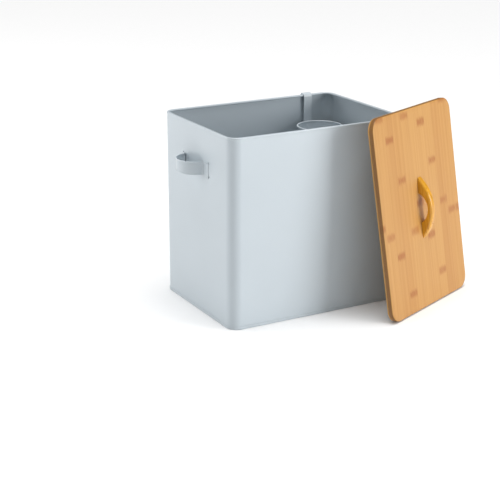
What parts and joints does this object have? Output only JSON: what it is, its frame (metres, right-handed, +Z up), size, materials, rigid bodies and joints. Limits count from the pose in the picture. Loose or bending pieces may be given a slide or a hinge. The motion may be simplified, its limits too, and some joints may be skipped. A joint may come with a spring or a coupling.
{
  "type": "dry food storage bin",
  "caption": "Open steel food bin with strap side handles, a loose bamboo lid with a wooden bow handle leaning against it, and a hook-handled scoop on its rim.",
  "frame": {"origin": "centre of the bin's footprint, on the surface that it stands on", "axes": "+X along the bin's long side, to the side that the lid leans on; +Y to the back, where the scoop hangs; +Z up"},
  "size_m": [0.517, 0.3691, 0.3467],
  "materials": {
    "bin_steel": "pale blue-grey powder coat, satin, fine orange peel",
    "pan_steel": "pale blue-grey powder coat, satin",
    "handle_steel": "pale blue-grey powder coat, satin",
    "lid_bamboo": "laminated bamboo strips, oiled satin",
    "plug_bamboo": "laminated bamboo, oiled satin",
    "seal_silicone": "translucent white silicone",
    "pull_wood": "amber stained wood, satin varnish",
    "screw_steel": "zinc plated",
    "scoop_steel": "very pale grey powder coat, satin",
    "rivet_steel": "painted over with the scoop"
  },
  "bodies": {
    "bin": {"bin_wall": "bin_steel", "bottom_pan": "pan_steel", "left_handle": "handle_steel", "right_handle": "handle_steel"},
    "lid": {"lid_board": "lid_bamboo", "lid_plug": "plug_bamboo", "lid_seal": "seal_silicone", "lid_handle": "pull_wood", "lid_screws": "screw_steel"},
    "scoop": {"scoop_cup": "scoop_steel", "scoop_handle": "scoop_steel", "scoop_rivets": "rivet_steel"}
  },
  "joints": [
    {"name": "lid_lift", "type": "slide", "parent": "bin", "child": "lid", "axis": [0, 0, 1], "range_m": [0, 0.36]},
    {"name": "scoop_lift", "type": "slide", "parent": "bin", "child": "scoop", "axis": [0, 0, 1], "range_m": [0, 0.2]}
  ]
}
